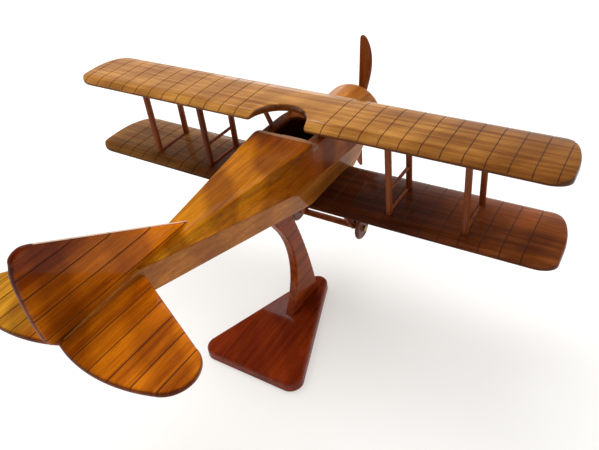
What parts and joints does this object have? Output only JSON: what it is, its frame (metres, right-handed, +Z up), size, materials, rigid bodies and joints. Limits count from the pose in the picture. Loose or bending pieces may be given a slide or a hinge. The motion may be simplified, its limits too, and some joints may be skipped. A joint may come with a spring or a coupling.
{
  "type": "biplane desk model",
  "caption": "Varnished wooden display model of a two-bay biplane with a turning propeller and wheels, standing on an arched post with a triangular base.",
  "frame": {"origin": "centre of the bounding box's bottom face, on the table under the middle of the whole model", "axes": "+Z up, -Y towards the nose, +X towards the port wing tip"},
  "size_m": [0.4, 0.3417, 0.2185],
  "materials": {
    "upper_wing_wood": "varnished mahogany, lighter orange-brown, glossy",
    "lower_wing_wood": "varnished mahogany, dark red-brown, glossy",
    "fuselage_wood": "varnished mahogany, glossy",
    "deck_wood": "varnished golden mahogany, glossy",
    "tail_wood": "varnished orange mahogany, glossy",
    "stand_wood": "varnished dark red mahogany, glossy",
    "strut_wood": "varnished mahogany sticks, satin",
    "propeller_wood": "varnished mahogany, glossy",
    "wheel_wood": "varnished turned mahogany",
    "seat_wood": "varnished mahogany",
    "dowel_wood": "bare hardwood",
    "steel": "bright zinc-plated",
    "brass": "lightly tarnished"
  },
  "bodies": {
    "stand": {"stand_base": "stand_wood", "stand_post": "stand_wood", "stand_dowel": "dowel_wood", "stand_screws": "steel"},
    "airframe": {"axle": "steel", "cabane_port_front": "strut_wood", "cabane_port_rear": "strut_wood", "cabane_starboard_front": "strut_wood", "cabane_starboard_rear": "strut_wood", "fin_and_rudder": "tail_wood", "fuselage_body": "fuselage_wood", "gear_leg_port_front": "strut_wood", "gear_leg_port_rear": "strut_wood", "gear_leg_starboard_front": "strut_wood", "gear_leg_starboard_rear": "strut_wood", "lower_wing_port": "lower_wing_wood", "lower_wing_starboard": "lower_wing_wood", "nose_cowl": "fuselage_wood", "pilot_seat": "seat_wood", "propeller_pin": "brass", "propeller_washer": "brass", "rail_port_inner": "strut_wood", "rail_starboard_inner": "strut_wood", "sill_port_inner": "strut_wood", "sill_port_outer": "strut_wood", "sill_starboard_inner": "strut_wood", "sill_starboard_outer": "strut_wood", "spreader_bar": "strut_wood", "strut_port_inner_front": "strut_wood", "strut_port_inner_rear": "strut_wood", "strut_port_outer_front": "strut_wood", "strut_port_outer_rear": "strut_wood", "strut_starboard_inner_front": "strut_wood", "strut_starboard_inner_rear": "strut_wood", "strut_starboard_outer_front": "strut_wood", "strut_starboard_outer_rear": "strut_wood", "tailplane": "tail_wood", "upper_deck": "deck_wood", "upper_wing": "upper_wing_wood", "wheel_cap_port": "brass", "wheel_cap_starboard": "brass"},
    "propeller": {"propeller": "propeller_wood"},
    "wheel_port": {"wheel_port": "wheel_wood"},
    "wheel_starboard": {"wheel_starboard": "wheel_wood"}
  },
  "joints": [
    {"name": "lift_off", "type": "slide", "parent": "stand", "child": "airframe", "axis": [0, 0, 1], "range_m": [0, 0.015]},
    {"name": "propeller_spin", "type": "hinge", "parent": "airframe", "child": "propeller", "pos_m": [0, -0.1645, 0.1365], "axis": [0, 1, 0], "continuous": true},
    {"name": "wheel_port_spin", "type": "hinge", "parent": "airframe", "child": "wheel_port", "pos_m": [0.032, -0.095, 0.0592], "axis": [1, 0, 0], "continuous": true},
    {"name": "wheel_starboard_spin", "type": "hinge", "parent": "airframe", "child": "wheel_starboard", "pos_m": [-0.032, -0.095, 0.0592], "axis": [1, 0, 0], "continuous": true}
  ]
}
